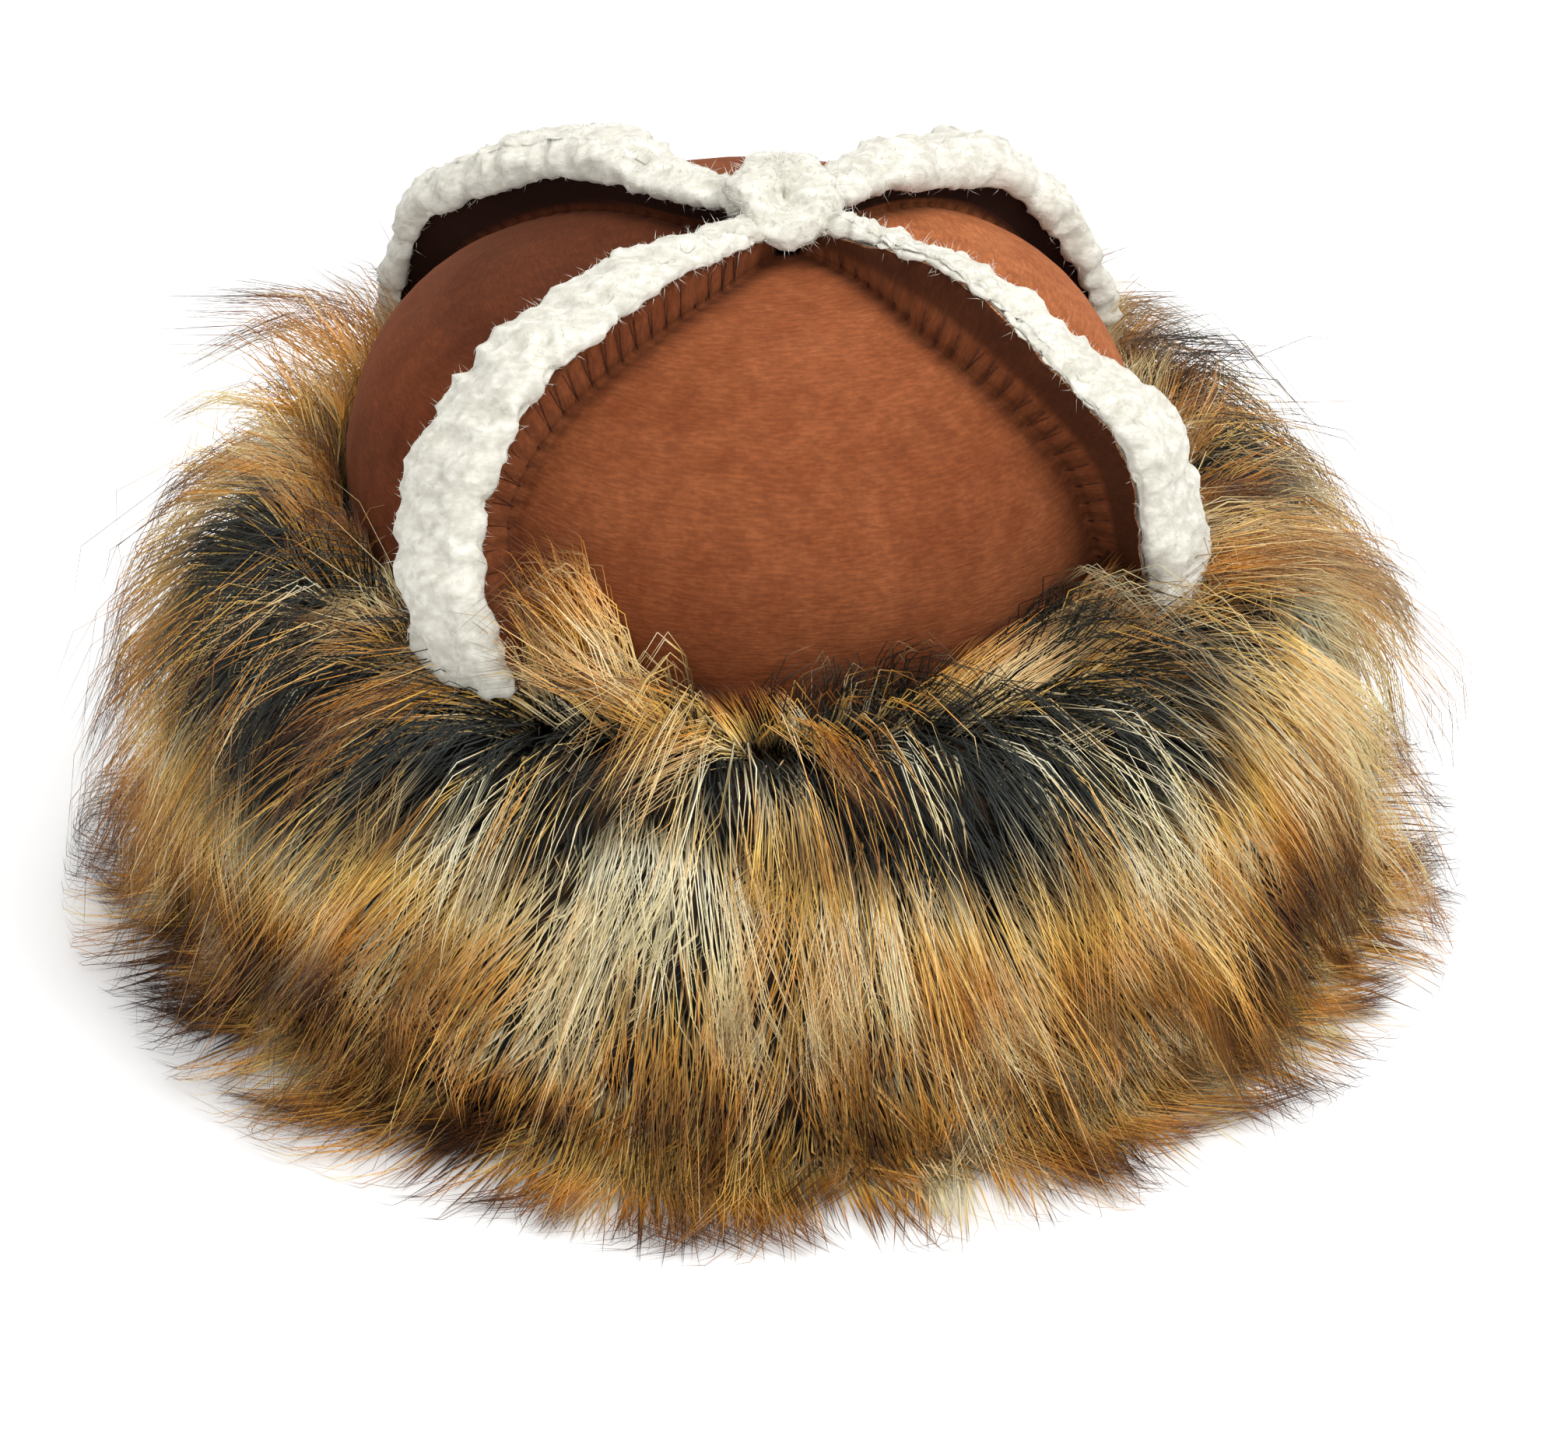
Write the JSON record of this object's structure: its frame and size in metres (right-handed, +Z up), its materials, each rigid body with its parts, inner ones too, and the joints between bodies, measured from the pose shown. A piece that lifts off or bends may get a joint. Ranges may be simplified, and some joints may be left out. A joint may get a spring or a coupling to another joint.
{
  "type": "fur-trimmed cap",
  "caption": "Round-topped cap of suede-faced fleece panels, sewn with standing white fleece seams, over a deep long-haired fur cuff.",
  "frame": {"origin": "middle of the cap's footprint, on the surface that it stands on", "axes": "+Z up through the crown, -Y towards the front panel, -X towards the wearer's right"},
  "size_m": [0.3462, 0.3437, 0.194],
  "materials": {
    "suede": "napped reddish-brown suede",
    "fleece": "curly off-white pile",
    "fur": "long tan fur with grey roots and dark brown tips"
  },
  "bodies": {
    "root": {"panel_front": "suede", "panel_right": "suede", "panel_back": "suede", "panel_left": "suede", "fleece_front_right": "fleece", "fleece_back_right": "fleece", "fleece_back_left": "fleece", "fleece_front_left": "fleece", "fleece_crown_tuft": "fleece", "fur_cuff": "fur"}
  },
  "joints": []
}
